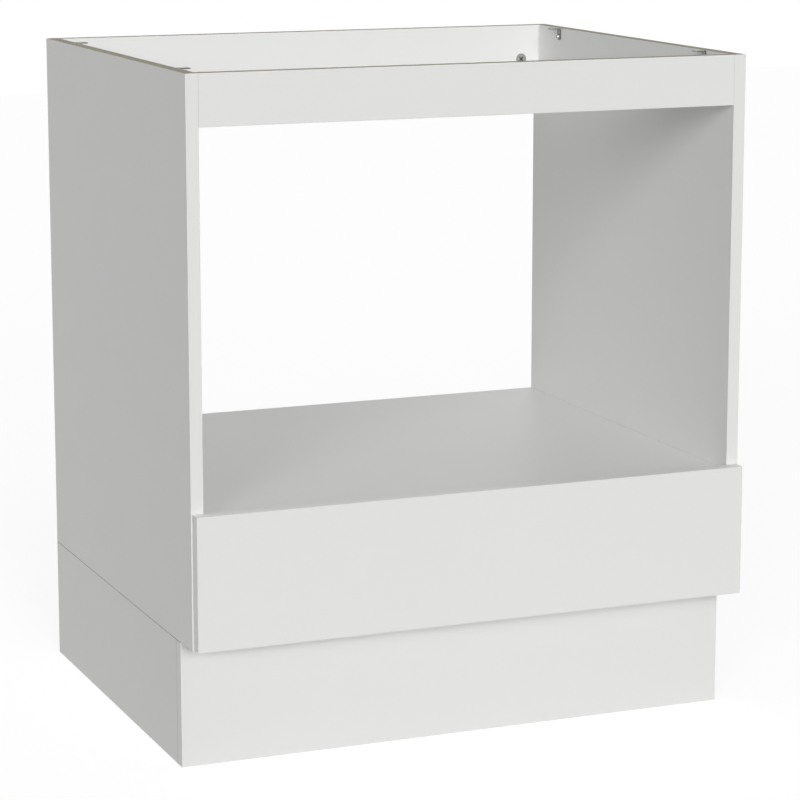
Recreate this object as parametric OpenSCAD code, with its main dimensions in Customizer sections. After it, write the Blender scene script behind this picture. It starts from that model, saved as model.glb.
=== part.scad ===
// Kitchen base cabinet with an open appliance niche over one wide drawer, on a recessed plinth box.
// Origin: centre of the floor footprint. +X to the right, +Y towards the rear, +Z up. Millimetres.

/* [Carcass] */
// Width over both side panels
cabinet_w = 700; // [500:10:900]
// Height from the floor to the top edges of the side panels
cabinet_h = 810; // [720:5:900]
// Depth of the side panels, without the drawer front
carcass_d = 564; // [500:2:620]
// Thickness of the melamine boards
board_t = 15; // [14:0.5:19]
// Thickness of the plastic edge bands
band_t = 0.45; // [0.3:0.05:1]
// Height of the front and back top rails
rail_h = 60; // [55:5:100]

/* [Plinth] */
// Height of the plinth box
plinth_h = 150; // [100:5:200]
// Setback of the plinth behind the front edges of the side panels
plinth_recess = 45; // [30:5:80]
// Seam between the side panels and the plinth under them
plinth_seam = 0.8; // [0.3:0.1:0.9]

/* [Drawer bay] */
// Clear height between the bottom panel and the niche shelf
bay_h = 126; // [116:2:200]
// Thickness of the hardboard panel behind the drawer
rear_t = 3; // [2.5:0.5:5]
// Distance of that panel from the rear edges of the carcass
rear_inset = 8; // [6:1:20]
// Depth of the grooves that hold it
rear_groove_d = 6; // [4:0.5:8]
// Play of a thin panel in its groove
groove_play = 0.2; // [0.1:0.05:0.5]

/* [Drawer front] */
// Thickness of the drawer front
front_t = 15; // [14:0.5:22]
// Gap between the drawer front and the carcass edges
front_gap = 1; // [0.6:0.1:3]
// How far each end of the drawer front stops short of the side panel's outer face
front_reveal = 1.5; // [1:0.5:4]
// Height of the drawer front's upper edge above the niche shelf
front_lip = 6; // [0:1:20]
// Height of the drawer front's lower edge above the underside of the bottom panel
front_rise = 3.5; // [0:0.5:10]

/* [Drawer box] */
// Thickness of the drawer's sides and back
drawer_t = 12; // [12:0.5:15]
// Height of the drawer's sides
drawer_h = 100; // [84:2:106]
// Gap between the drawer's sides and the bottom panel
drawer_lift = 7; // [3:1:10]
// Thickness of the drawer's hardboard bottom
drawer_bottom_t = 3; // [2.5:0.5:5]
// Height of the bottom's groove above the lower edge of the drawer's sides
drawer_groove_up = 8; // [6:1:12]
// Depth of that groove
drawer_groove_d = 6; // [4:0.5:7]

/* [Drawer slides] */
// Length of the fixed slide member
slide_len = 450; // [350:10:470]
// Width that a slide takes up beside the drawer
slide_w = 12.7; // [12.5:0.1:14]
// Height of the fixed slide member
slide_h = 45; // [44:0.5:48]
// Thickness of the slides' sheet steel
slide_t = 1; // [0.8:0.05:1.2]
// Height of the slides' centre line above the lower edge of the drawer's sides
slide_up = 40; // [34:1:44]
// Setback of the slides behind the front edges of the side panels
slide_setback = 2; // [1:1:20]
// Travel that the drawer lacks to its slides' full length
travel_loss = 10; // [5:5:60]
// Radius of the bearing balls
ball_r = 2; // [1.8:0.05:2.2]
// Play between a ball and its races
ball_play = 0.15; // [0.1:0.05:0.25]
// Distance from ball to ball along a row
ball_pitch = 20; // [12:1:40]
// Sideways offset between the outer and the inner ball row
row_shift = 2.4; // [2.1:0.1:2.8]
// Thickness of the ball cages
cage_t = 0.5; // [0.3:0.05:0.6]
// Length of the rubber stop at the rear of each slide
stop_len = 6; // [4:1:12]
// Length of the release lever's arm
lever_len = 62; // [40:2:80]
// Thickness of the release lever
lever_t = 1.75; // [1.5:0.25:2.5]

/* [Cam fittings and dowels] */
// Radius of the cam housings
cam_r = 7.5; // [6:0.5:10]
// Distance from a board's end to the centre of its cams
cam_setback = 26; // [20:1:34]
// Wood left under a cam
cam_floor = 2.5; // [2:0.5:4]
// Radius of a cam bolt's threaded end
bolt_r = 2.5; // [2:0.25:3.5]
// Radius of a cam bolt's head
bolt_head_r = 3; // [2.5:0.1:3.2]
// Height of the rail cams above the rails' lower edges
rail_cam_up = 14.5; // [12:0.5:20]
// Height of the rail dowels above the rails' lower edges
rail_dowel_up = 45.5; // [34:0.5:46]
// Distance of the shelf and bottom panel cams from the front and rear edges
panel_cam_in = 96; // [75:1:150]
// Distance of the shelf and bottom panel dowels from the front and rear edges
panel_dowel_in = 50; // [30:5:60]
// Radius of the carcass dowels
dowel_r = 4; // [3:0.5:4]
// Length of the carcass dowels
dowel_len = 30; // [25:1:40]
// Radius of the drawer dowels
drawer_dowel_r = 3; // [2.5:0.5:3.5]
// Height of the cams in the drawer's sides above their lower edges
drawer_cam_up = 66; // [60:1:72]
// Height of the dowels in the drawer's sides above their lower edges
drawer_dowel_up = 24; // [22:1:28]
// Board left behind a blind hole
blind_skin = 4; // [3:0.5:6]
// Play of round fittings in their holes
fit_play = 0.05; // [0.03:0.01:0.1]

/* [Brackets and screws] */
// Width of the angle brackets
bracket_w = 10; // [9:0.5:24]
// Length of each leg of an angle bracket
bracket_leg = 15.5; // [15:0.5:30]
// Thickness of the angle brackets
bracket_t = 1.5; // [1:0.1:2.5]
// Inner radius of the brackets' bend
bracket_bend = 1; // [0.5:0.25:1.5]
// Radius of the brackets' corners
bracket_corner = 2; // [1:0.5:4]
// Distance from the bend to the holes in each leg
bracket_hole_in = 11.5; // [9:0.5:11.5]
// Radius of the worktop screw holes in the brackets
bracket_hole_r = 2.25; // [1.8:0.05:3]
// Distance of the front worktop brackets from the front edges
bracket_front_in = 76; // [40:2:120]
// Distance of the rear worktop brackets from the rear edges
bracket_rear_in = 80; // [40:2:120]
// Distance of the plinth's top brackets from its front and back boards
plinth_bracket_in = 110; // [60:5:150]
// Radius of the screws' shanks
screw_r = 1.75; // [1.5:0.05:2]
// Radius of the screws' heads
screw_head_r = 3.4; // [2.8:0.1:3.8]
// Height of the pan heads
screw_head_h = 2.4; // [1.4:0.1:2.6]
// Length of the screws through the drawer's sides into its back
long_screw_l = 35; // [25:1:45]
// Distance from a slide's ends to its outermost screws
slide_screw_in = 35; // [25:1:60]

/* [Hidden] */
$fn = 48;
eps = 0.01;
over = 1;
arc_steps = 8;

half_w = cabinet_w / 2;
inner_x = half_w - board_t;
rear_y = (carcass_d + front_gap + front_t) / 2;
front_y = rear_y - carcass_d;
side_z = plinth_h + plinth_seam;
bay_z = plinth_h + board_t;
shelf_z = bay_z + bay_h;
shelf_top = shelf_z + board_t;
rail_z = cabinet_h - rail_h;
front_rail_mid = front_y + board_t / 2;
back_rail_mid = rear_y - board_t / 2;
rear_panel_y = rear_y - rear_inset - rear_t;

front_w = cabinet_w - 2 * front_reveal;
front_z = plinth_h + front_rise;
front_h = shelf_top + front_lip - front_z;
front_back_y = front_y - front_gap;
front_face_y = front_back_y - front_t;

drawer_x = inner_x - slide_w;
drawer_in_x = drawer_x - drawer_t;
drawer_z = bay_z + drawer_lift;
drawer_len = slide_len;
drawer_rear_y = front_back_y + drawer_len;
drawer_floor_z = drawer_z + drawer_groove_up;
back_z = drawer_floor_z + drawer_bottom_t + groove_play;
back_h = drawer_z + drawer_h - back_z;
panel_edge_play = 0.5;

plinth_front_y = front_y + plinth_recess;
plinth_in_y = plinth_front_y + board_t;
plinth_back_y = rear_y - board_t;
plinth_dowel_share = 0.27;
plinth_dowel_z = [plinth_h * plinth_dowel_share, plinth_h * (1 - plinth_dowel_share)];

// Slide sections are drawn in a plane with x from the carcass wall and y from the slide's centre line.
slide_y = front_y + slide_setback;
slide_z = drawer_z + slide_up;
travel = slide_len - travel_loss;
stop_gap = 0.3;
member_len = slide_len - stop_len - stop_gap;
lean = 40;
lip_angle = 25;
bend_r = 0.4;
race_in = ball_r + ball_play;
race_mid = race_in + slide_t / 2;
bend_mid = bend_r + slide_t / 2;
bend_out = race_mid + bend_mid;
outer_row_h = slide_h / 2 - race_in - slide_t;
inner_row = [slide_w - slide_t / 2 - bend_mid - bend_out * sin(lean),
    outer_row_h - sqrt(pow(2 * race_in + slide_t, 2) - pow(row_shift, 2))];
outer_row = [inner_row.x - row_shift, outer_row_h];
row_angle = atan2(inner_row.y - outer_row.y, row_shift);
middle_web = outer_row.x - bend_out * sin(lean) - bend_mid - slide_t / 2;
outer_cage_x = (slide_t + middle_web - cage_t) / 2;
cage_web_gap = 0.35;
inner_cage_x = middle_web + slide_t + cage_web_gap;
cage_margin = 6;
cage_window = member_len - travel / 2 - 2 * cage_margin;
ball_count = floor(cage_window / ball_pitch);
cage_len = ball_count * ball_pitch;
cage_y = slide_y + travel / 4 + cage_margin;
cage_rim = 0.8;
mid_screw_shift = 12;
slide_screw_at = [slide_screw_in, slide_len / 2 - mid_screw_shift, slide_len - slide_screw_in - stop_len];
slot_half = 4;
slot_shift = 16;
slot_r = 2.2;
access_r = 4.5;

lever_gap = 0.3;
lever_clear = 24;
lever_y = slide_y + slide_screw_at[1] + lever_clear + lever_len;
lever_x = slide_w - slide_t - lever_gap - lever_t;
rivet_r = 1.5;
rivet_head_r = 2.6;
rivet_head_t = 0.6;
lever_hub_r = 4.5;
lever_root = 3.2;
lever_neck = 2.2;
lever_pad = 3.6;
lever_pad_l = 9;
lever_flare_l = 6;

// Depths of blind holes in each kind of board
carcass_blind = board_t - blind_skin;
front_blind = front_t - blind_skin;
drawer_blind = drawer_t - blind_skin;
end_play = 0.5;
loose_play = 2 * fit_play;
bracket_reach = bracket_t + carcass_blind - end_play;
outer_screw_reach = slide_t + carcass_blind - end_play;
inner_screw_reach = slide_t + drawer_blind - end_play;
end_bore_r = 4;
bolt_neck_r = 1.8;
bolt_neck_l = 4;
bolt_head_l = 2.5;
recess_l = 8;
recess_w = 1.6;
recess_d = 2;
pit_r = 1.6;
pit_share = 0.8;
bend_reach = bracket_t + bracket_bend;
countersink_h = 1.8;
screw_dome_r = 2.4;
screw_rim_h = 0.9;
screw_tip_r = 0.5;
screw_recess_l = 4;
screw_recess_d = 1.1;
buffer_r = 4;
buffer_in = 14;
buffer_play = 0.1;
long_screw_up = [18, 86];
bottom_screw_share = 0.8;
bottom_screw_reach = 18;

// Helpers

module box(low, high) {
    translate(low) cube(high - low);
}

module on_right() {
    mirror([1, 0, 0]) children();
}

module on_both() {
    children();
    on_right() children();
}

// A round piece turned about the X axis, from [distance along X, radius] steps
module turned(steps) {
    rotate([0, 90, 0]) rotate_extrude()
        polygon(concat([[0, steps[0].x]], [for (s = steps) [s.y, s.x]], [[0, steps[len(steps) - 1].x]]));
}

module rod(r, from, to) {
    translate([from, 0, 0]) rotate([0, 90, 0]) cylinder(r = r, h = to - from);
}

// Frames for the joints: X runs into the board that holds the cam, Z out of the face where the cam sits.

module at_wall(places, turn) {
    for (p = places) translate([-inner_x, p.x, p.y]) rotate([turn, 0, 0]) children();
}

module at_drawer_front(up) {
    translate([-drawer_x + drawer_t / 2, front_back_y, drawer_z + up]) rotate([90, 0, 90]) children();
}

module at_plinth_front() {
    for (z = plinth_dowel_z)
        translate([-half_w + board_t / 2, plinth_in_y, z]) rotate([90, 0, 90]) children();
}

module at_front_rail(up) {
    at_wall([[front_rail_mid, rail_z + up]], -90) children();
}

module at_back_rail(up) {
    at_wall([[back_rail_mid, rail_z + up]], 90) children();
}

module at_panel_ends(z, inset) {
    at_wall([[front_y + inset, z + board_t / 2], [rear_y - inset, z + board_t / 2]], 180) children();
}

// Cam fittings

module cross_recess(z, size, depth) {
    for (a = [45, 135]) translate([0, 0, z - depth / 2]) rotate(a)
        cube([size, recess_w * size / recess_l, depth], center = true);
}

module cam(t) {
    depth = t - cam_floor;
    bore_r = bolt_head_r + loose_play;
    pit_d = pit_share * (t / 2 - bore_r);
    difference() {
        translate([cam_setback, 0, t / 2 - depth]) cylinder(r = cam_r - fit_play, h = depth);
        translate([cam_setback, 0, 0]) cross_recess(t / 2 + eps, recess_l, recess_d + eps);
        translate([cam_setback, 0, t / 2 - pit_d]) cylinder(r = pit_r, h = pit_d + over);
        rod(bore_r, -over, cam_setback + bolt_head_l);
    }
}

module cam_bore(t) {
    translate([cam_setback, 0, cam_floor - t / 2]) cylinder(r = cam_r, h = t);
    rod(end_bore_r, -over, cam_setback);
}

module cam_bolt(blind) {
    shoulder = cam_setback - bolt_neck_l - bolt_head_l / 2;
    neck_end = shoulder + bolt_neck_l;
    turned([[end_play - blind, bolt_r], [0, bolt_r], [0, bolt_head_r], [shoulder, bolt_head_r],
        [shoulder, bolt_neck_r], [neck_end, bolt_neck_r], [neck_end, bolt_head_r],
        [neck_end + bolt_head_l, bolt_head_r]]);
}

module bolt_hole(blind) {
    rod(bolt_r + fit_play, -blind, over);
}

module dowel(r, blind) {
    from = end_play - blind;
    chamfer = 1;
    turned([[from, r - chamfer], [from + chamfer, r], [from + dowel_len - chamfer, r],
        [from + dowel_len, r - chamfer]]);
}

module dowel_hole(r, blind) {
    rod(r + fit_play, -blind, dowel_len - blind + 2 * end_play);
}

// Screws point along +X from the face that carries the head, which is at x = 0.

module pan_screw(reach) {
    difference() {
        turned([[-screw_head_h, screw_dome_r], [-screw_rim_h, screw_head_r],
            [0, screw_head_r], [0, screw_r], [reach - screw_r, screw_r], [reach, screw_tip_r]]);
        rotate([0, -90, 0]) cross_recess(screw_head_h + eps, screw_recess_l, screw_recess_d);
    }
}

module flush_screw(reach) {
    difference() {
        turned([[0, screw_head_r], [countersink_h, screw_r], [reach - screw_r, screw_r],
            [reach, screw_tip_r]]);
        rotate([0, -90, 0]) cross_recess(eps, screw_recess_l, screw_recess_d);
    }
}

module screw_hole(reach) {
    rod(screw_r + fit_play, -over, reach + end_play);
}

module flush_screw_hole(reach) {
    screw_hole(reach);
    sink_r = screw_head_r + fit_play;
    turned([[-over, sink_r], [0, sink_r], [countersink_h, screw_r + fit_play],
        [countersink_h + over, screw_r]]);
}

// Angle brackets: one leg lies on the wall x = 0, the other under the plane z = 0.

module bracket_flat() {
    tip = bracket_leg - bracket_corner;
    half = bracket_w / 2 - bracket_corner;
    translate([0, 0, -bracket_t]) linear_extrude(bracket_t) {
        translate([bend_reach, -bracket_w / 2]) square([tip - bend_reach, bracket_w]);
        translate([bend_reach, -half]) square([bracket_leg - bend_reach, 2 * half]);
        for (y = [-half, half]) translate([tip, y]) circle(r = bracket_corner);
    }
}

module bracket_bent_corner() {
    intersection() {
        box([0, -bracket_w / 2, -bend_reach], [bend_reach, bracket_w / 2, 0]);
        translate([bend_reach, 0, -bend_reach]) rotate([90, 0, 0]) difference() {
            cylinder(r = bend_reach, h = bracket_w + over, center = true);
            cylinder(r = bracket_bend, h = bracket_w + 2 * over, center = true);
        }
    }
}

module bracket(top_r) {
    difference() {
        union() {
            bracket_flat();
            mirror([1, 0, 1]) bracket_flat();
            bracket_bent_corner();
        }
        translate([bracket_hole_in, 0, -bracket_t - over]) cylinder(r = top_r, h = bracket_t + 2 * over);
        translate([0, 0, -bracket_hole_in]) rod(screw_r + loose_play, -over, bracket_t + over);
    }
}

module at_bracket_wall_screw() {
    translate([bracket_t, 0, -bracket_hole_in]) rotate([0, 0, 180]) children();
}

module at_bracket_top_screw() {
    translate([bracket_hole_in, 0, -bracket_t]) rotate([0, -90, 0]) children();
}

module at_worktop_brackets() {
    for (y = [front_y + bracket_front_in, rear_y - bracket_rear_in])
        translate([-inner_x, y, cabinet_h]) children();
}

module at_plinth_brackets() {
    for (y = [plinth_in_y + plinth_bracket_in, plinth_back_y - plinth_bracket_in])
        translate([-inner_x, y, plinth_h]) children();
    translate([-inner_x, plinth_in_y, plinth_h / 2]) rotate([90, 0, 0]) children();
    translate([-inner_x, plinth_back_y, plinth_h / 2]) rotate([-90, 0, 0]) children();
}

module at_slide_screws(x, from) {
    for (at = slide_screw_at) translate([x, from + at, slide_z]) children();
}

// Carcass boards

module left_side_panel() {
    color("whitesmoke") difference() {
        box([-half_w, front_y + band_t, side_z], [-inner_x, rear_y, cabinet_h]);
        box([-inner_x - rear_groove_d, rear_panel_y, bay_z - rear_groove_d],
            [-inner_x + over, rear_panel_y + rear_t + groove_play, shelf_z + rear_groove_d]);
        at_front_rail(rail_cam_up) bolt_hole(carcass_blind);
        at_back_rail(rail_cam_up) bolt_hole(carcass_blind);
        at_front_rail(rail_dowel_up) dowel_hole(dowel_r, carcass_blind);
        at_back_rail(rail_dowel_up) dowel_hole(dowel_r, carcass_blind);
        for (z = [plinth_h, shelf_z]) {
            at_panel_ends(z, panel_cam_in) bolt_hole(carcass_blind);
            at_panel_ends(z, panel_dowel_in) dowel_hole(dowel_r, carcass_blind);
        }
        at_worktop_brackets() at_bracket_wall_screw() screw_hole(bracket_reach);
        at_slide_screws(-inner_x + slide_t, slide_y) rotate([0, 0, 180])
            flush_screw_hole(outer_screw_reach);
    }
}

module side_left() {
    left_side_panel();
}

module side_right() {
    on_right() left_side_panel();
}

module front_rail() {
    color("whitesmoke") difference() {
        box([-inner_x, front_y, rail_z + band_t], [inner_x, front_y + board_t, cabinet_h]);
        on_both() {
            at_front_rail(rail_cam_up) cam_bore(board_t);
            at_front_rail(rail_dowel_up) dowel_hole(dowel_r, carcass_blind);
        }
    }
}

module back_rail() {
    color("whitesmoke") difference() {
        box([-inner_x, rear_y - board_t, rail_z], [inner_x, rear_y, cabinet_h]);
        on_both() {
            at_back_rail(rail_cam_up) cam_bore(board_t);
            at_back_rail(rail_dowel_up) dowel_hole(dowel_r, carcass_blind);
        }
    }
}

module panel_between_sides(z) {
    difference() {
        box([-inner_x, front_y + band_t, z], [inner_x, rear_y, z + board_t]);
        on_both() {
            at_panel_ends(z, panel_cam_in) cam_bore(board_t);
            at_panel_ends(z, panel_dowel_in) dowel_hole(dowel_r, carcass_blind);
        }
    }
}

module niche_shelf() {
    color("whitesmoke") difference() {
        panel_between_sides(shelf_z);
        box([-inner_x - over, rear_panel_y, shelf_z - over],
            [inner_x + over, rear_panel_y + rear_t + groove_play, shelf_z + rear_groove_d]);
    }
}

module bottom_panel() {
    color("whitesmoke") difference() {
        panel_between_sides(plinth_h);
        box([-inner_x - over, rear_panel_y, bay_z - rear_groove_d],
            [inner_x + over, rear_panel_y + rear_t + groove_play, bay_z + over]);
        on_both() at_plinth_brackets() at_bracket_top_screw() screw_hole(bracket_reach);
    }
}

module rear_panel() {
    reach = rear_groove_d - panel_edge_play;
    color("burlywood")
        box([-inner_x - reach, rear_panel_y, bay_z - rear_groove_d],
            [inner_x + reach, rear_panel_y + rear_t, shelf_z + reach]);
}

module carcass_edge_bands() {
    color("white") {
        on_both() box([-half_w, front_y, side_z], [-inner_x, front_y + band_t, cabinet_h]);
        box([-inner_x, front_y, rail_z], [inner_x, front_y + board_t, rail_z + band_t]);
        for (z = [plinth_h, shelf_z])
            box([-inner_x, front_y, z], [inner_x, front_y + band_t, z + board_t]);
    }
}

module rail_cams() {
    color("silver") on_both() {
        at_front_rail(rail_cam_up) cam(board_t);
        at_back_rail(rail_cam_up) cam(board_t);
    }
}

module rail_cam_bolts() {
    color("gainsboro") on_both() {
        at_front_rail(rail_cam_up) cam_bolt(carcass_blind);
        at_back_rail(rail_cam_up) cam_bolt(carcass_blind);
    }
}

module rail_dowels() {
    color("tan") on_both() {
        at_front_rail(rail_dowel_up) dowel(dowel_r, carcass_blind);
        at_back_rail(rail_dowel_up) dowel(dowel_r, carcass_blind);
    }
}

module panel_cams(z) {
    color("silver") on_both() at_panel_ends(z, panel_cam_in) cam(board_t);
}

module panel_cam_bolts(z) {
    color("gainsboro") on_both() at_panel_ends(z, panel_cam_in) cam_bolt(carcass_blind);
}

module panel_dowels(z) {
    color("tan") on_both() at_panel_ends(z, panel_dowel_in) dowel(dowel_r, carcass_blind);
}

// Plinth box

module plinth_front() {
    color("whitesmoke") difference() {
        box([-half_w, plinth_front_y, 0], [half_w, plinth_in_y, plinth_h]);
        on_both() {
            at_plinth_front() dowel_hole(dowel_r, carcass_blind);
            at_plinth_brackets() at_bracket_top_screw() screw_hole(bracket_reach);
        }
    }
}

module left_plinth_side() {
    color("whitesmoke") difference() {
        box([-half_w, plinth_in_y, 0], [-inner_x, rear_y, plinth_h]);
        at_plinth_front() dowel_hole(dowel_r, carcass_blind);
        at_plinth_back() dowel_hole(dowel_r, carcass_blind);
        at_plinth_brackets() at_bracket_wall_screw() screw_hole(bracket_reach);
    }
}

module at_plinth_back() {
    at_wall([for (z = plinth_dowel_z) [back_rail_mid, z]], 90) children();
}

module plinth_side_left() {
    left_plinth_side();
}

module plinth_side_right() {
    on_right() left_plinth_side();
}

module plinth_back() {
    color("whitesmoke") difference() {
        box([-inner_x, plinth_back_y, 0], [inner_x, rear_y, plinth_h]);
        on_both() {
            at_plinth_back() dowel_hole(dowel_r, carcass_blind);
            at_plinth_brackets() at_bracket_top_screw() screw_hole(bracket_reach);
        }
    }
}

module plinth_dowels() {
    color("tan") on_both() {
        at_plinth_front() dowel(dowel_r, carcass_blind);
        at_plinth_back() dowel(dowel_r, carcass_blind);
    }
}

module worktop_brackets() {
    color("silver") on_both() at_worktop_brackets() bracket(bracket_hole_r);
}

module worktop_bracket_screws() {
    color("gainsboro") on_both() at_worktop_brackets() at_bracket_wall_screw() pan_screw(bracket_reach);
}

module plinth_brackets() {
    color("silver") on_both() at_plinth_brackets() bracket(screw_r + loose_play);
}

module plinth_bracket_screws() {
    color("gainsboro") on_both() at_plinth_brackets() {
        at_bracket_wall_screw() pan_screw(bracket_reach);
        at_bracket_top_screw() pan_screw(bracket_reach);
    }
}

// Telescopic ball-bearing slides. A sheet is a list of bends [centre, radius of its middle line, from, to].

function arc(c, r, from, to) =
    [for (i = [0:arc_steps]) let (a = from + (to - from) * i / arc_steps) c + r * [cos(a), sin(a)]];

function edge(bends, side) =
    [for (b = bends) each arc(b[0], b[1] + side * sign(b[2] - b[3]) * slide_t / 2, b[2], b[3])];

function flipped(points) = [for (p = points) [p.x, -p.y]];

function reversed(points) = [for (i = [len(points) - 1:-1:0]) points[i]];

// The bends run from the web to the free lip; the lower half mirrors the upper half.
function sheet_outline(bends) =
    let (left = edge(bends, 1), right = edge(bends, -1))
    concat(left, reversed(right), flipped(right), reversed(flipped(left)));

function around(row, angle) = row + bend_out * [cos(angle), sin(angle)];

flange_bend = around(outer_row, 90 + lean);
flange_z = flange_bend.y - bend_mid;

outer_bends = [
    [[slide_t / 2 + bend_mid, flange_z - bend_mid], bend_mid, 180, 90],
    [flange_bend, bend_mid, -90, lean - 90],
    [outer_row, race_mid, 90 + lean, lip_angle]];

middle_bends = [
    [around(outer_row, -90 - lean), bend_mid, 180, 90 - lean],
    [outer_row, race_mid, -90 - lean, row_angle],
    [inner_row, race_mid, row_angle + 180, lip_angle]];

inner_bends = [
    [around(inner_row, lean - 90), bend_mid, 0, 90 + lean],
    [inner_row, race_mid, lean - 90, lip_angle - 180]];

// Extrudes a slide section along Y, on the left side of the carcass
module section(y, length) {
    translate([-inner_x, y + length, slide_z]) rotate([90, 0, 0]) linear_extrude(length) children();
}

module web_slot(x, y) {
    translate([x, y, slide_z]) {
        for (dy = [-slot_half, slot_half]) translate([0, dy, 0]) rod(slot_r, -over, slide_t + over);
        box([-over, -slot_half, -slot_r], [slide_t + over, slot_half, slot_r]);
    }
}

module left_slide_outer() {
    color("silver") difference() {
        section(slide_y, slide_len) polygon(sheet_outline(outer_bends));
        at_slide_screws(-inner_x + slide_t, slide_y) rotate([0, 0, 180])
            flush_screw_hole(outer_screw_reach);
        for (at = slide_screw_at) web_slot(-inner_x, slide_y + at + slot_shift);
    }
}

module left_slide_middle() {
    color("lightgray") difference() {
        section(slide_y, member_len) polygon(sheet_outline(middle_bends));
        for (at = slide_screw_at) translate([-inner_x + middle_web, slide_y + at, slide_z])
            rod(access_r, -over, slide_t + over);
    }
}

module left_slide_inner() {
    rivet_x = slide_w - slide_t - 2 * lever_gap - lever_t;
    color("silver") {
        difference() {
            section(slide_y, member_len) polygon(sheet_outline(inner_bends));
            at_slide_screws(-inner_x + slide_w - slide_t, slide_y)
                rod(screw_r + loose_play, -over, slide_t + over);
            for (at = slide_screw_at)
                web_slot(-inner_x + slide_w - slide_t, slide_y + at + slot_shift);
        }
        translate([-inner_x, lever_y, slide_z]) {
            rod(rivet_r, rivet_x, slide_w - slide_t / 2);
            rod(rivet_head_r, rivet_x - rivet_head_t, rivet_x);
        }
    }
}

function cage_outline(web_x, row) =
    let (tip = row.x + ball_r + cage_rim, top = row.y + cage_t / 2, under = row.y - cage_t / 2)
    [[web_x, -top], [tip, -top], [tip, -under], [web_x + cage_t, -under],
        [web_x + cage_t, under], [tip, under], [tip, top], [web_x, top]];

module along_row(row) {
    for (i = [0:ball_count - 1], s = [-1, 1])
        translate([-inner_x + row.x, cage_y + (i + 0.5) * ball_pitch, slide_z + s * row.y]) children();
}

module cage(web_x, row) {
    color("darkgray") difference() {
        section(cage_y, cage_len) polygon(cage_outline(web_x, row));
        along_row(row) cylinder(r = ball_r + loose_play, h = cage_t + over, center = true);
    }
}

module balls(row) {
    color("gray") along_row(row) sphere(r = ball_r, $fn = 24);
}

module slide_outer_screws() {
    color("gainsboro") on_both() at_slide_screws(-inner_x + slide_t, slide_y) rotate([0, 0, 180])
        flush_screw(outer_screw_reach);
}

module slide_inner_screws() {
    color("gainsboro") on_both() at_slide_screws(-inner_x + slide_w - slide_t, slide_y)
        pan_screw(inner_screw_reach);
}

module slide_rear_stops() {
    stop_x = outer_row.x + ball_r;
    stop_h = inner_row.y;
    slope = 2;
    color("dimgray") on_both() section(slide_y + slide_len - stop_len, stop_len)
        polygon([[slide_t, -stop_h], [stop_x, slope - stop_h], [stop_x, stop_h - slope], [slide_t, stop_h]]);
}

module release_lever() {
    pad_from = lever_pad_l - lever_len;
    arm = [[0, lever_root], [pad_from + lever_flare_l, lever_neck], [pad_from, lever_pad],
        [-lever_len, lever_pad]];
    color("dimgray") translate([-inner_x + lever_x, lever_y, slide_z]) rotate([90, 0, 90])
        linear_extrude(lever_t) difference() {
            union() {
                circle(r = lever_hub_r);
                polygon(concat(arm, reversed(flipped(arm))));
            }
            circle(r = rivet_r + fit_play);
        }
}

// Drawer

module drawer_front() {
    color("whitesmoke") difference() {
        box([band_t - front_w / 2, front_face_y, front_z + band_t],
            [front_w / 2 - band_t, front_back_y, front_z + front_h - band_t]);
        box([-drawer_in_x - drawer_groove_d, front_back_y - drawer_groove_d, drawer_floor_z],
            [drawer_in_x + drawer_groove_d, front_back_y + over, back_z]);
        on_both() {
            at_drawer_front(drawer_cam_up) bolt_hole(front_blind);
            at_drawer_front(drawer_dowel_up) dowel_hole(drawer_dowel_r, front_blind);
        }
    }
}

module drawer_front_bands() {
    color("white") {
        for (z = [front_z, front_z + front_h - band_t])
            box([-front_w / 2, front_face_y, z], [front_w / 2, front_back_y, z + band_t]);
        on_both() box([-front_w / 2, front_face_y, front_z + band_t],
            [band_t - front_w / 2, front_back_y, front_z + front_h - band_t]);
    }
}

module left_drawer_side() {
    color("whitesmoke") difference() {
        box([-drawer_x, front_back_y, drawer_z], [-drawer_in_x, drawer_rear_y, drawer_z + drawer_h - band_t]);
        box([-drawer_in_x - drawer_groove_d, front_back_y - over, drawer_floor_z],
            [-drawer_in_x + over, drawer_rear_y + over, back_z]);
        at_drawer_front(drawer_cam_up) cam_bore(drawer_t);
        at_drawer_front(drawer_dowel_up) dowel_hole(drawer_dowel_r, front_blind);
        at_slide_screws(-drawer_x, slide_y) screw_hole(inner_screw_reach - slide_t);
        at_long_screws() flush_screw_hole(long_screw_l);
    }
}

module at_long_screws() {
    for (up = long_screw_up)
        translate([-drawer_x, drawer_rear_y - drawer_t / 2, drawer_z + up]) children();
}

module drawer_side_left() {
    left_drawer_side();
}

module drawer_side_right() {
    on_right() left_drawer_side();
}

module at_bottom_screws() {
    for (x = [-drawer_in_x * bottom_screw_share, 0, drawer_in_x * bottom_screw_share])
        translate([x, drawer_rear_y - drawer_t / 2, drawer_floor_z]) rotate([0, -90, 0]) children();
}

module drawer_back() {
    color("whitesmoke") difference() {
        box([-drawer_in_x, drawer_rear_y - drawer_t, back_z],
            [drawer_in_x, drawer_rear_y, back_z + back_h - band_t]);
        on_both() at_long_screws() screw_hole(long_screw_l);
        at_bottom_screws() screw_hole(bottom_screw_reach);
    }
}

module drawer_bottom() {
    reach = drawer_groove_d - panel_edge_play;
    color("burlywood") difference() {
        box([-drawer_in_x - reach, front_back_y - reach, drawer_floor_z],
            [drawer_in_x + reach, drawer_rear_y, drawer_floor_z + drawer_bottom_t]);
        at_bottom_screws() screw_hole(bottom_screw_reach);
    }
}

module drawer_box_bands() {
    top = drawer_z + drawer_h;
    color("white") {
        on_both() box([-drawer_x, front_back_y, top - band_t], [-drawer_in_x, drawer_rear_y, top]);
        box([-drawer_in_x, drawer_rear_y - drawer_t, top - band_t], [drawer_in_x, drawer_rear_y, top]);
    }
}

module drawer_cams() {
    color("silver") on_both() at_drawer_front(drawer_cam_up) cam(drawer_t);
}

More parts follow.
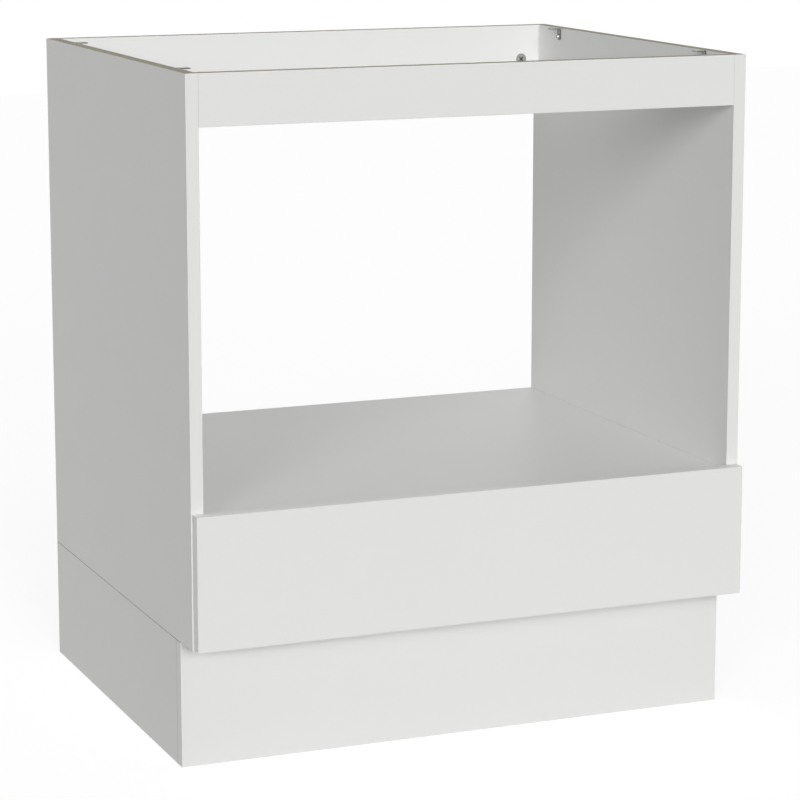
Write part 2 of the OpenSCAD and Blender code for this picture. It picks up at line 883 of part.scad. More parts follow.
module drawer_cam_bolts() {
    color("gainsboro") on_both() at_drawer_front(drawer_cam_up) cam_bolt(front_blind);
}

module drawer_dowels() {
    color("tan") on_both() at_drawer_front(drawer_dowel_up) dowel(drawer_dowel_r, front_blind);
}

module drawer_back_screws() {
    color("gainsboro") on_both() at_long_screws() flush_screw(long_screw_l);
}

module drawer_bottom_screws() {
    color("gainsboro") at_bottom_screws() pan_screw(bottom_screw_reach);
}

module drawer_buffers() {
    color("lightgray") on_both()
        for (z = [front_z + buffer_in, front_z + front_h - buffer_in - front_lip])
            translate([-inner_x - board_t / 2, front_back_y, z]) rotate([-90, 0, 0])
                cylinder(r = buffer_r, h = front_gap - buffer_play);
}

side_left();
side_right();
front_rail();
back_rail();
niche_shelf();
bottom_panel();
rear_panel();
plinth_front();
plinth_side_left();
plinth_side_right();
plinth_back();
plinth_dowels();
carcass_edge_bands();
rail_cams();
rail_cam_bolts();
rail_dowels();
panel_cams(shelf_z);  // shelf_cams
panel_cam_bolts(shelf_z);  // shelf_cam_bolts
panel_dowels(shelf_z);  // shelf_dowels
panel_cams(plinth_h);  // bottom_cams
panel_cam_bolts(plinth_h);  // bottom_cam_bolts
panel_dowels(plinth_h);  // bottom_dowels
worktop_brackets();
worktop_bracket_screws();
plinth_brackets();
plinth_bracket_screws();
left_slide_outer();  // slide_outer_left
on_right() left_slide_outer();  // slide_outer_right
slide_outer_screws();
slide_rear_stops();
drawer_front();
drawer_front_bands();
drawer_side_left();
drawer_side_right();
drawer_back();
drawer_bottom();
drawer_box_bands();
drawer_cams();
drawer_cam_bolts();
drawer_dowels();
drawer_back_screws();
drawer_bottom_screws();
drawer_buffers();
left_slide_inner();  // slide_inner_left
on_right() left_slide_inner();  // slide_inner_right
slide_inner_screws();
left_slide_middle();  // slide_middle_left
on_right() left_slide_middle();  // slide_middle_right
cage(outer_cage_x, outer_row);  // outer_cage_left
on_right() cage(outer_cage_x, outer_row);  // outer_cage_right
cage(inner_cage_x, inner_row);  // inner_cage_left
on_right() cage(inner_cage_x, inner_row);  // inner_cage_right
balls(outer_row);  // outer_balls_left
on_right() balls(outer_row);  // outer_balls_right
balls(inner_row);  // inner_balls_left
on_right() balls(inner_row);  // inner_balls_right
release_lever();  // release_lever_left
on_right() release_lever();  // release_lever_right
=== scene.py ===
# Dresses a kitchen base cabinet: white melamine boards with raw chip cores, plastic edge bands, zinc
# fittings and ball-bearing drawer slides. Metres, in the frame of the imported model.

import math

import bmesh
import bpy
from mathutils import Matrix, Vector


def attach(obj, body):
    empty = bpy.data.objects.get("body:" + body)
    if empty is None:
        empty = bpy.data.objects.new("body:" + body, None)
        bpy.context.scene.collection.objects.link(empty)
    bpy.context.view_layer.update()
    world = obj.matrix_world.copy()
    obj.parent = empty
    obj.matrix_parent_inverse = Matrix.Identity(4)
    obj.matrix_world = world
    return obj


bl_info = {
    "name": "Kitchen base cabinet",
    "version": (1, 0, 0),
    "blender": (4, 5, 0),
    "location": "3D View > Sidebar > Cabinet",
    "description": "Finishes a base cabinet that has an open niche over a drawer",
    "category": "Object",
}

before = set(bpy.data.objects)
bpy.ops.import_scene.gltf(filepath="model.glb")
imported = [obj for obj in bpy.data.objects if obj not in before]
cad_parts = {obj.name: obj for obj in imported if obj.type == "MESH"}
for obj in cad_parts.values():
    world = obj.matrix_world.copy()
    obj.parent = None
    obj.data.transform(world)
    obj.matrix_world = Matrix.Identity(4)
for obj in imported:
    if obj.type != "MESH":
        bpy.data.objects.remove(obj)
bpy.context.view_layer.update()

PACKED_MATERIALS = set(bpy.data.materials.keys())
X_AXIS, Y_AXIS, Z_AXIS, NO_AXIS = (1, 0, 0), (0, 1, 0), (0, 0, 1), (0, 0, 0)
WHITE = (1, 1, 1, 1)
SENSOR_WIDTH = 36  # millimetres
SAME_POINT = 2e-6  # corners nearer than this belong to one sharp edge
SAME_SOLID = 1e-5  # corners nearer than this belong to one solid
SHARP_TURN = math.radians(38)


# Sizes and colours

def colour_property(name, description, default):
    return bpy.props.FloatVectorProperty(
        name=name, description=description, default=default, subtype="COLOR", size=3, min=0, max=1)


def length_property(name, description, default):
    return bpy.props.FloatProperty(
        name=name, description=description, default=default, min=0, unit="LENGTH", precision=5)


def share_property(name, description, default):
    return bpy.props.FloatProperty(
        name=name, description=description, default=default, min=0, max=1, subtype="FACTOR")


def strength_property(name, description, default):
    return bpy.props.FloatProperty(name=name, description=description, default=default, min=0)


def angle_property(name, description, degrees):
    return bpy.props.FloatProperty(
        name=name, description=description, default=math.radians(degrees), subtype="ANGLE")


class BoardLook(bpy.types.PropertyGroup):
    melamine: colour_property("Melamine", "Colour of the coated faces", (0.862, 0.864, 0.850))
    band: colour_property("Edge band", "Colour of the plastic edge bands", (0.864, 0.867, 0.853))
    light_chip: colour_property("Light chips", "Palest wood chips in a raw edge", (0.70, 0.675, 0.555))
    dark_chip: colour_property("Dark chips", "Darkest wood chips in a raw edge", (0.31, 0.29, 0.21))
    chip_length: length_property("Chip length", "Length of the chips in the middle layer", 0.0028)
    skin: share_property("Coating", "Share of a board's thickness that its coatings take up", 0.022)
    # The next three set a dark line where a cut end meets another board: partly the raw edge at the cut,
    # partly painted shade of the joint's gap.
    joint_edge_and_shade_tone: share_property("Joint line", "How dark the line is where a cut end meets a board", 0.6)
    tight_line: share_property("Tight joint", "A tight joint's line, as a share of a board's length", 0.0004)
    open_line: share_property("Open joint", "An open joint's line, as a share of a board's length", 0.0018)
    sheen: share_property("Reflection", "Strength of the coatings' mirror reflection", 0.3)
    face_gloss: share_property("Face roughness", "Roughness of the coated faces", 0.42)
    band_gloss: share_property("Band roughness", "Roughness of the edge bands", 0.34)
    raw_gloss: share_property("Raw roughness", "Roughness of the raw chips", 0.9)
    chip_depth: length_property("Chip relief", "Relief of the raw chips", 0.00025)
    pearl_relief: share_property("Pearl relief", "Relief of the coatings, as a share of the chips'", 0.06)
    edge_radius: length_property("Board edge", "Largest rounding of the boards' own edges", 0.0003)
    band_radius: length_property("Band edge", "Largest rounding of the edge bands", 0.0004)
    fibre: colour_property("Hardboard", "Brown face of the thin panels", (0.30, 0.165, 0.08))
    fibre_gloss: share_property("Hardboard roughness", "Roughness of the brown face", 0.7)
    fibre_depth: length_property("Hardboard relief", "Relief of the brown face", 0.0002)
    paint: colour_property("Panel paint", "White face of the thin panels", (0.83, 0.83, 0.81))
    paint_gloss: share_property("Paint roughness", "Roughness of the white face", 0.4)
    paint_relief: share_property("Paint relief", "Relief of the white face, as a share of the brown's", 0.15)


class MetalLook(bpy.types.PropertyGroup):
    cast_zinc: colour_property("Cam zinc", "Die-cast cam housings", (0.38, 0.38, 0.365))
    bracket_zinc: colour_property("Bracket zinc", "Plated angle brackets", (0.27, 0.273, 0.268))
    screw_zinc: colour_property("Screw zinc", "Bright plated screws and bolts", (0.60, 0.60, 0.59))
    slide_zinc: colour_property("Slide zinc", "Plated rolled slide members", (0.50, 0.51, 0.52))
    ball_steel: colour_property("Balls", "Polished bearing balls", (0.76, 0.76, 0.77))
    beech: colour_property("Beech", "Wooden dowels", (0.66, 0.46, 0.27))
    plastic: colour_property("Plastic", "Release levers", (0.028, 0.029, 0.031))
    rubber: colour_property("Rubber", "Stops at the rear of the slides", (0.022, 0.022, 0.022))
    buffer: colour_property("Buffers", "Milky buffers behind the drawer front", (0.74, 0.75, 0.74))
    fitting_edge: length_property("Fitting edge", "Largest rounding of brackets, cams and levers", 0.0002)
    sheet_edge: length_property("Sheet edge", "Largest rounding of the slides' cut edges", 0.00012)
    # Painted shade: the next three darken the zinc's colour near walls and in recesses, where shade falls.
    painted_shade_reach: length_property("Recess reach", "How near a wall darkens the zinc beside it", 0.005)
    painted_shade_tone: share_property("Recess tone", "Tone left at the bottom of a deep recess", 0.3)
    painted_shade_fall: strength_property("Recess falloff", "How fast the tone falls towards a recess", 1.5)
    arrow: length_property("Cam arrow", "Length of the arrow cast on each cam", 0.0030)
    arrow_rise: length_property("Arrow rise", "How far that arrow stands up", 0.00018)
    arrow_place: share_property("Arrow place", "How far out it stands, as a share of the cam's radius", 0.72)


class StageLook(bpy.types.PropertyGroup):
    camera_place: bpy.props.FloatVectorProperty(
        name="Camera place", description="Where the camera stands", size=3, subtype="TRANSLATION",
        unit="LENGTH", default=(-1.3514, -3.3298, 1.0866))
    camera_turn: bpy.props.FloatProperty(
        name="Camera turn", description="Turn of the view to the right", subtype="ANGLE", default=0.3902)
    camera_drop: bpy.props.FloatProperty(
        name="Camera drop", description="How far the view looks down", subtype="ANGLE", default=0.1839)
    focal_length: bpy.props.FloatProperty(
        name="Focal length", description="In millimetres, for a 36 mm sensor", default=131.24, min=10)
    frame_shift: bpy.props.FloatProperty(
        name="Frame shift", description="Upward shift of the frame, as a share of its width", default=-0.05)
    front_strength: strength_property("Front light", "Strength of the soft light near the camera", 1.32)
    front_softness: angle_property("Front softness", "Width of the front light as the cabinet sees it", 18)
    front_side: angle_property("Front side", "How far to the left the front light stands", 5)
    front_height: angle_property("Front height", "Height of the front light above the horizon", 15)
    side_strength: strength_property("Side light", "Strength of the soft light from the left", 0.83)
    side_softness: angle_property("Side softness", "Width of the side light as the cabinet sees it", 20)
    side_side: angle_property("Side side", "How far to the left the side light stands", 40)
    side_height: angle_property("Side height", "Height of the side light above the horizon", 16)
    horizon: strength_property("Horizon light", "Strength of the room's light near the horizon", 0.135)
    zenith: strength_property("Ceiling light", "Strength of the room's light overhead", 0.415)
    floor_reach: length_property("Floor reach", "Distance from the middle of the floor to its sides", 8.0)
    floor: colour_property("Floor", "Colour of the floor", (0.51, 0.51, 0.51))
    floor_shade: share_property("Floor shading", "Share of its own shading that the floor shows", 0.6)
    floor_lift: strength_property("Floor lift", "Glow that brings the seen floor up to white", 0.83)


# Shader nodes

class NodeMaker:
    """Adds nodes to one node tree. A socket given as an input is linked, any other value is set."""

    def __init__(self, tree):
        self.tree = tree

    def feed(self, socket, value):
        if isinstance(value, bpy.types.NodeSocket):
            self.tree.links.new(value, socket)
        else:
            socket.default_value = value

    def add(self, kind, inputs=None, **settings):
        node = self.tree.nodes.new(kind)
        for key, value in settings.items():
            setattr(node, key, value)
        for key, value in (inputs or {}).items():
            self.feed(node.inputs[key], value)
        return node

    def math(self, operation, *values, clamp=False):
        settings = {"operation": operation, "use_clamp": clamp}
        return self.add("ShaderNodeMath", dict(enumerate(values)), **settings).outputs[0]

    def vector(self, operation, *values):
        node = self.add("ShaderNodeVectorMath", dict(enumerate(values)), operation=operation)
        return node.outputs["Value" if operation == "DOT_PRODUCT" else "Vector"]

    def scaled(self, vector, factor):
        inputs = {"Vector": vector, "Scale": factor}
        return self.add("ShaderNodeVectorMath", inputs, operation="SCALE").outputs[0]

    def swing(self, value, amount):
        """About 1: more where the value is over a half and less where it is under, by the amount."""
        return self.math("MULTIPLY_ADD", self.math("SUBTRACT", value, 0.5), amount, 1.0)

    def mix(self, factor, first, second):
        return self.add("ShaderNodeMix", {0: factor, 6: first, 7: second}, data_type="RGBA").outputs[2]

    def between(self, factor, first, second):
        return self.add("ShaderNodeMix", {0: factor, 2: first, 3: second}, data_type="FLOAT").outputs[0]

    def spread(self, value, low, high, to_low=0.0, to_high=1.0):
        node = self.add("ShaderNodeMapRange", {"Value": value, "From Min": low, "From Max": high,
                                               "To Min": to_low, "To Max": to_high})
        node.interpolation_type = "SMOOTHSTEP"
        return node.outputs["Result"]

    def noise(self, place, scale, detail, roughness=0.5, warp=0.0):
        return self.add("ShaderNodeTexNoise", {"Vector": place, "Scale": scale, "Detail": detail,
                                               "Roughness": roughness, "Distortion": warp}).outputs["Fac"]

    def cells(self, place, scale, feature="F1"):
        return self.add("ShaderNodeTexVoronoi", {"Vector": place, "Scale": scale}, feature=feature)

    def group(self, tree, **inputs):
        node = self.add("ShaderNodeGroup", node_tree=tree)
        for key, value in inputs.items():
            self.feed(node.inputs[key.replace("_", " ")], value)
        return node.outputs


def effect(name, inputs, outputs, build):
    """A shader node group, built once. build(maker, sockets) gives the value of each output by name."""
    tree = bpy.data.node_groups.get(name)
    if tree:
        return tree
    tree = bpy.data.node_groups.new(name, "ShaderNodeTree")
    for title, kind, default in inputs:
        socket = tree.interface.new_socket(title, in_out="INPUT", socket_type="NodeSocket" + kind)
        socket.default_value = default
    for title, kind in outputs:
        tree.interface.new_socket(title, in_out="OUTPUT", socket_type="NodeSocket" + kind)
    source, sink = tree.nodes.new("NodeGroupInput"), tree.nodes.new("NodeGroupOutput")
    for title, value in build(NodeMaker(tree), source.outputs).items():
        tree.links.new(value, sink.inputs[title])
    return tree


def satin_effect():
    """The even, faintly pearled surface of melamine and plastic, with slow drifts in tone and gloss."""
    def build(maker, given):
        place = maker.add("ShaderNodeTexCoord").outputs["Object"]
        pearl = maker.noise(place, maker.math("DIVIDE", 1.0, given["Pearl Size"]), detail=1.0)
        drift = maker.noise(place, scale=3.5, detail=3.0, roughness=0.55)
        handled = maker.noise(place, scale=22.0, detail=4.0, roughness=0.6, warp=0.4)
        return {
            "Height": pearl,
            "Tone": maker.swing(drift, given["Drift"]),
            "Gloss": maker.swing(handled, given["Gloss Drift"])}
    return effect("satin_surface",
                  [("Pearl Size", "Float", 0.0009), ("Drift", "Float", 0.02), ("Gloss Drift", "Float", 0.3)],
                  [("Height", "Float"), ("Tone", "Float"), ("Gloss", "Float")], build)


def core_effect():
    """Raw particle board wherever a surface lies between a board's two coatings: long flat chips in the
    middle, fine dust near the coatings. Line is 1 beside the cut ends that meet another board, where a
    dark line stands partly for the raw edge and partly as painted shade of the joint's gap."""
    # A face that looks along the banded axis by more than this has a band over it.
    banded_over = 0.7
    # Chips lie flat between the coatings, and their outlines wander.
    flattening, wander_density, wander_reach = 4.5, 700.0, 0.0016
    # Towards the coatings finer dust takes over from the chips.
    dust_density, dust_from, dust_to = 3.2, 0.24, 0.36
    # The random colour of a cell gives the tone of its chip or grain.
    chip_mix, chip_steps = (1.0, 0.7, 0.4), 1.7
    dust_mix, dust_range, dust_darkest = (0.4, 0.3, 0.2), 0.55, 0.28
    # Dark gaps part the chips.
    gap_width, gap_depth = 0.05, 0.55

    def build(maker, given):
        coordinates = maker.add("ShaderNodeTexCoord").outputs
        place, axis = coordinates["Object"], given["Thickness Axis"]
        centred = maker.vector("SUBTRACT", coordinates["Generated"], (0.5, 0.5, 0.5))
        depth = maker.math("ABSOLUTE", maker.vector("DOT_PRODUCT", centred, axis))
        rim = maker.math("MULTIPLY_ADD", given["Skin"], -0.5, 0.5)
        banded = maker.vector("DOT_PRODUCT", coordinates["Normal"], given["Banded Axis"])
        unbanded = maker.math("LESS_THAN", maker.math("ABSOLUTE", banded), banded_over)
        raw = maker.math("MULTIPLY", maker.math("LESS_THAN", depth, rim), unbanded)
        # Painted shade: this mask beside cut ends that meet another board marks the joint's gap in shade, and
        # partly its raw edge.
        from_end = maker.math("SUBTRACT", 0.5, maker.math("ABSOLUTE", maker.vector(
            "DOT_PRODUCT", centred, given["Cut Axis"])))
        near_end = maker.math("LESS_THAN", from_end, given["Line Width"])
        line = maker.math("MULTIPLY", near_end, maker.math("SUBTRACT", 1.0, raw))

        flatness = maker.math("MULTIPLY", maker.vector("DOT_PRODUCT", place, axis), flattening)
        flat = maker.vector("ADD", place, maker.scaled(axis, flatness))
        noise = maker.add("ShaderNodeTexNoise", {"Vector": flat, "Scale": wander_density, "Detail": 1.0})
        wander = maker.vector("SUBTRACT", noise.outputs["Color"], (0.5, 0.5, 0.5))
        flat = maker.vector("ADD", flat, maker.scaled(wander, wander_reach))
        density = maker.math("DIVIDE", 1.0, given["Chip Length"])
        chips = maker.cells(flat, density)
        dust = maker.cells(flat, maker.math("MULTIPLY", density, dust_density))
        dusty = maker.spread(depth, dust_from, dust_to)
        chip_tone = maker.math("FRACT", maker.math("MULTIPLY", maker.vector(
            "DOT_PRODUCT", chips.outputs["Color"], chip_mix), chip_steps))
        dust_tone = maker.math("MULTIPLY_ADD", maker.vector(
            "DOT_PRODUCT", dust.outputs["Color"], dust_mix), dust_range, dust_darkest)
        tone = maker.between(dusty, chip_tone, dust_tone)
        edges = maker.cells(flat, density, "DISTANCE_TO_EDGE").outputs["Distance"]
        shade = maker.between(dusty, maker.spread(edges, 0.0, gap_width), 1.0)
        lit = maker.math("MULTIPLY", tone, maker.math("MULTIPLY_ADD", shade, gap_depth, 1.0 - gap_depth))
        return {"Core": raw, "Line": line, "Height": lit,
                "Colour": maker.mix(lit, given["Dark Chip"], given["Light Chip"])}
    return effect("raw_board_core",
                  [("Thickness Axis", "Vector", X_AXIS), ("Banded Axis", "Vector", NO_AXIS),
                   ("Cut Axis", "Vector", NO_AXIS), ("Line Width", "Float", 0.0006),
                   ("Skin", "Float", 0.02), ("Chip Length", "Float", 0.003),
                   ("Light Chip", "Color", (0.5, 0.5, 0.4, 1)), ("Dark Chip", "Color", (0.2, 0.2, 0.1, 1))],
                  [("Core", "Float"), ("Line", "Float"), ("Colour", "Color"), ("Height", "Float")], build)


def drawn_effect():
    """Fine lines along one axis, as rolling and drawing leave in metal, and as wood grain."""
    # How much of the pattern's change along the axis is taken out.
    stretch = 0.985

    def build(maker, given):
        place = maker.add("ShaderNodeTexCoord").outputs["Object"]
        along = maker.math("MULTIPLY", maker.vector("DOT_PRODUCT", place, given["Axis"]), -stretch)
        drawn = maker.vector("ADD", place, maker.scaled(given["Axis"], along))
        lines = maker.noise(drawn, maker.math("DIVIDE", 1.0, given["Line Width"]), detail=3.0, roughness=0.6)
        clouds = maker.noise(place, scale=45.0, detail=3.0, roughness=0.6)
        lifted = maker.math("SUBTRACT", lines, 0.5)
        clouded = maker.math("SUBTRACT", clouds, 0.5)
        together, apart = maker.math("ADD", lifted, clouded), maker.math("SUBTRACT", lifted, clouded)
        return {
            "Height": lines,
            "Tone": maker.math("MULTIPLY_ADD", together, given["Contrast"], 1.0),
            "Gloss": maker.math("MULTIPLY_ADD", apart, given["Gloss Drift"], 1.0)}
    return effect("drawn_lines",
                  [("Axis", "Vector", Y_AXIS), ("Line Width", "Float", 0.0006), ("Contrast", "Float", 0.2),
                   ("Gloss Drift", "Float", 0.5)],
                  [("Height", "Float"), ("Tone", "Float"), ("Gloss", "Float")], build)


def mottle_effect():
    """Crystal patches and small pits, as on cast or dipped zinc."""
    # The random colour of a cell gives the tone of its patch. The pits are finer than the patches.
    patch_mix, sand_density = (0.4, 0.35, 0.25), 6.0

    def build(maker, given):
        place = maker.add("ShaderNodeTexCoord").outputs["Object"]
        density = maker.math("DIVIDE", 1.0, given["Patch Size"])
        patch = maker.vector("DOT_PRODUCT", maker.cells(place, density).outputs["Color"], patch_mix)
        sand = maker.noise(place, maker.math("MULTIPLY", density, sand_density), detail=3.0, roughness=0.65)
        return {
            "Height": sand,
            "Tone": maker.swing(maker.between(0.5, patch, sand), given["Contrast"]),
            "Gloss": maker.swing(patch, given["Gloss Drift"])}
    return effect("zinc_mottle",
                  [("Patch Size", "Float", 0.0015), ("Contrast", "Float", 0.3),
                   ("Gloss Drift", "Float", 0.5)],
                  [("Height", "Float"), ("Tone", "Float"), ("Gloss", "Float")], build)


def fibre_effect():
    """Pressed wood fibres, with the press screen's print on the raw side and without it under the paint."""
    # Fibres against clouds in the tone, and the print's height against both.
    fibre_share, screen_depth = 0.6, 0.2
    # The noise lies within the first range, and the tone is spread over the second.
    noise_range, tone_range = (0.3, 0.7), (0.72, 1.18)
    # A face that looks to the painted side by more than this is painted.
    painted_over = 0.6

    def build(maker, given):
        coordinates = maker.add("ShaderNodeTexCoord").outputs
        place = coordinates["Object"]
        long_fibres = maker.noise(place, scale=420.0, detail=4.0, roughness=0.7, warp=2.5)
        clouds = maker.noise(place, scale=28.0, detail=4.0, roughness=0.6)
        tone = maker.math("ADD", maker.math("MULTIPLY", long_fibres, fibre_share),
                          maker.math("MULTIPLY", clouds, 1.0 - fibre_share))
        waves = maker.scaled(place, maker.math("DIVIDE", 2 * math.pi, given["Screen Pitch"]))
        parts = maker.add("ShaderNodeSeparateXYZ", {"Vector": waves}).outputs
        threads = [maker.math("SINE", parts[letter]) for letter in "XYZ"]
        print_height = maker.math("ADD", maker.math("ADD", threads[0], threads[1]), threads[2])
        raw_height = maker.math("MULTIPLY_ADD", print_height, screen_depth, tone)
        painted = maker.math("GREATER_THAN", maker.vector(
            "DOT_PRODUCT", coordinates["Normal"], given["Painted Side"]), painted_over)
        return {
            "Painted": painted,
            "Tone": maker.spread(tone, *noise_range, *tone_range),
            "Height": maker.between(painted, raw_height, long_fibres)}
    return effect("pressed_fibre",
                  [("Painted Side", "Vector", Z_AXIS), ("Screen Pitch", "Float", 0.0016)],
                  [("Painted", "Float"), ("Tone", "Float"), ("Height", "Float")], build)


# Materials

def rgba(colour, gain=1.0):
    return (colour[0] * gain, colour[1] * gain, colour[2] * gain, 1.0)


def new_material(name):
    """A material, its node maker and its shader. The last two are None if the material was made before."""
    if name in PACKED_MATERIALS:
        raise ValueError(f"the packed model already has a material named {name}")
    old = bpy.data.materials.get(name)
    if old:
        return old, None, None
    material = bpy.data.materials.new(name)
    material.use_nodes = True
    maker = NodeMaker(material.node_tree)
    shader = material.node_tree.nodes["Principled BSDF"]
    return material, maker, shader


def finish_material(maker, shader, colour, roughness, height, depth):
    links = maker.tree.links
    links.new(colour, shader.inputs["Base Color"])
    links.new(roughness, shader.inputs["Roughness"])
    bump = maker.add("ShaderNodeBump", {"Height": height, "Distance": depth, "Strength": 1.0})
    links.new(bump.outputs["Normal"], shader.inputs["Normal"])


def toned(maker, colour, tone):
    return maker.scaled(colour if isinstance(colour, bpy.types.NodeSocket) else tuple(colour)[:3], tone)


def seen_directly(maker):
    """1 for rays from the camera and for reflected or refracted rays, 0 for the light on matt surfaces."""
    rays = maker.add("ShaderNodeLightPath").outputs
    mirrored = maker.math("MAXIMUM", rays["Is Glossy Ray"], rays["Is Transmission Ray"])
    return maker.math("MAXIMUM", rays["Is Camera Ray"], mirrored)


def melamine(look, thickness_axis, cut_axis=NO_AXIS, banded_axis=NO_AXIS, joint="tight"):
    """A coated board. Its coatings face along the first axis, its ends along the second meet another board,
    and its edges along the third carry a band."""
    axes = {"": thickness_axis, f"_{joint}_": cut_axis, "_banded_": banded_axis}
    letters = "".join(word + "xyz"[axis.index(1)] for word, axis in axes.items() if 1 in axis)
    material, maker, shader = new_material("white_melamine_" + letters)
    if maker:
        satin = maker.group(satin_effect(), Pearl_Size=0.0010, Drift=0.012, Gloss_Drift=0.25)
        core = maker.group(core_effect(), Thickness_Axis=thickness_axis, Banded_Axis=banded_axis,
                           Cut_Axis=cut_axis, Line_Width=getattr(look, joint + "_line"),
                           Skin=look.skin, Chip_Length=look.chip_length,
                           Light_Chip=rgba(look.light_chip), Dark_Chip=rgba(look.dark_chip))
        shader.inputs["Specular IOR Level"].default_value = look.sheen
        # Painted shade: beside a joining cut end the coating darkens towards the dark chips, partly for the
        # raw edge and partly for the joint's shade.
        face = maker.mix(maker.math("MULTIPLY", core["Line"], look.joint_edge_and_shade_tone),
                         toned(maker, look.melamine, satin["Tone"]), rgba(look.dark_chip))
        rough = maker.math("MULTIPLY", satin["Gloss"], look.face_gloss)
        pearl = maker.math("MULTIPLY", satin["Height"], look.pearl_relief)
        finish_material(
            maker, shader, maker.mix(core["Core"], face, core["Colour"]),
            maker.between(core["Core"], rough, look.raw_gloss),
            maker.between(core["Core"], pearl, core["Height"]), look.chip_depth)
    return material


def satin_plastic(name, colour, roughness, pearl=0.0006, depth=0.00002, drift=0.015, reflection=0.4):
    material, maker, shader = new_material(name)
    if maker:
        shader.inputs["Specular IOR Level"].default_value = reflection
        satin = maker.group(satin_effect(), Pearl_Size=pearl, Drift=drift, Gloss_Drift=0.3)
        finish_material(maker, shader, toned(maker, colour, satin["Tone"]),
                        maker.math("MULTIPLY", satin["Gloss"], roughness), satin["Height"], depth)
    return material


def hardboard(look, painted_side):
    """A thin panel, white on one side and brown elsewhere."""
    material, maker, shader = new_material("hardboard_" + "xyz"[[abs(v) for v in painted_side].index(1)])
    if maker:
        fibre = maker.group(fibre_effect(), Painted_Side=painted_side)
        satin = maker.group(satin_effect(), Pearl_Size=0.0012, Drift=0.02, Gloss_Drift=0.3)
        brown = toned(maker, look.fibre, fibre["Tone"])
        white = toned(maker, look.paint, satin["Tone"])
        finish_material(maker, shader, maker.mix(fibre["Painted"], brown, white),
                        maker.between(fibre["Painted"], look.fibre_gloss,
                                      maker.math("MULTIPLY", satin["Gloss"], look.paint_gloss)),
                        maker.math("MULTIPLY", fibre["Height"],
                                   maker.between(fibre["Painted"], 1.0, look.paint_relief)), look.fibre_depth)
    return material


def mottled_metal(look, name, colour, roughness, patch, contrast, depth):
    """Zinc or steel with painted shade: its colour darkens in recesses and inner corners, below its open
    faces.
    """
    material, maker, shader = new_material(name)
    if maker:
        mottle = maker.group(mottle_effect(), Patch_Size=patch, Contrast=contrast, Gloss_Drift=0.6)
        shader.inputs["Metallic"].default_value = 1.0
        # Painted shade: an occlusion test darkens the colour in recesses and beside walls, and the tone
        # carries that darkening.
        painted_shade_occlusion = maker.add("ShaderNodeAmbientOcclusion", {"Distance": look.painted_shade_reach}, samples=8)
        painted_shade_openness = maker.math("POWER", painted_shade_occlusion.outputs["AO"], look.painted_shade_fall)
        tone = maker.math("MULTIPLY", mottle["Tone"], maker.between(painted_shade_openness, look.painted_shade_tone, 1.0))
        gloss = maker.math("MULTIPLY", mottle["Gloss"], roughness, clamp=True)
        finish_material(maker, shader, toned(maker, colour, tone), gloss, mottle["Height"], depth)
    return material


def drawn_surface(name, colour, roughness, axis, line, contrast, depth, metallic=1.0):
    material, maker, shader = new_material(name)
    if maker:
        drawn = maker.group(drawn_effect(), Axis=axis, Line_Width=line, Contrast=contrast, Gloss_Drift=0.6)
        shader.inputs["Metallic"].default_value = metallic
        gloss = maker.math("MULTIPLY", drawn["Gloss"], roughness, clamp=True)
        finish_material(maker, shader, toned(maker, colour, drawn["Tone"]), gloss, drawn["Height"], depth)
    return material


# Work on the CAD nodes

def dress(nodes, material, edge=0.0, segments=2):
    """Gives CAD nodes their finish. A modifier eases their sharp edges, as far as each mesh leaves room."""
    for name in nodes:
        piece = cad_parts[name]
        piece.data.materials.clear()
        piece.data.materials.append(material)
        if edge:
            weld = piece.modifiers.new("joined_faces", "WELD")
            weld.merge_threshold = SAME_POINT
            bevel = piece.modifiers.new("eased_edges", "BEVEL")
            bevel.width = edge
            bevel.segments = segments
            bevel.limit_method = "ANGLE"
            bevel.angle_limit = SHARP_TURN
            bevel.use_clamp_overlap = True
            normals = piece.modifiers.new("even_shading", "WEIGHTED_NORMAL")
            normals.keep_sharp = True


def solids_of(node):
    """(lowest corner, highest corner) of each separate solid in a CAD node."""
    mesh = bmesh.new()
    mesh.from_mesh(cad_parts[node].data)
    bmesh.ops.remove_doubles(mesh, verts=mesh.verts, dist=SAME_SOLID)
    boxes, seen = [], set()
    for start in mesh.verts:
        if start in seen:
            continue
        seen.add(start)
        queue, points = [start], []
        while queue:
            vertex = queue.pop()
            points.append(vertex.co.copy())
            for line in vertex.link_edges:
                other = line.other_vert(vertex)
                if other not in seen:
                    seen.add(other)
                    queue.append(other)
        boxes.append(tuple(Vector(pick(p[i] for p in points) for i in range(3)) for pick in (min, max)))
    mesh.free()
    return boxes


def mesh_piece(name, mesh, material, body):
    """Turns a bmesh into an object that rides on a body and takes a slot's finish."""
    data = bpy.data.meshes.new(name)
    mesh.to_mesh(data)
    mesh.free()
    data.materials.append(material)
    piece = bpy.data.objects.new(name, data)
    bpy.context.scene.collection.objects.link(piece)
    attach(piece, body)


def add_arrow(mesh, centre, ahead, out, length, rise):
    """A small raised arrow head that points ahead on a face whose outward side is out."""
    side = out.cross(ahead)
    half_width, top_share, sunk = length * 0.45, 0.82, rise * 0.5
    outline = [(length / 2, 0), (-length / 2, half_width), (-length / 4, 0), (-length / 2, -half_width)]
    low = [mesh.verts.new(centre + ahead * a + side * s - out * sunk) for a, s in outline]
    high = [mesh.verts.new(centre + (ahead * a + side * s) * top_share + out * rise) for a, s in outline]
    mesh.faces.new(high)
    mesh.faces.new(list(reversed(low)))
    for i, vertex in enumerate(low):
        j = (i + 1) % len(low)
        mesh.faces.new((vertex, low[j], high[j], high[i]))
    bmesh.ops.recalc_face_normals(mesh, faces=mesh.faces)


# Operators, one for each group of pieces

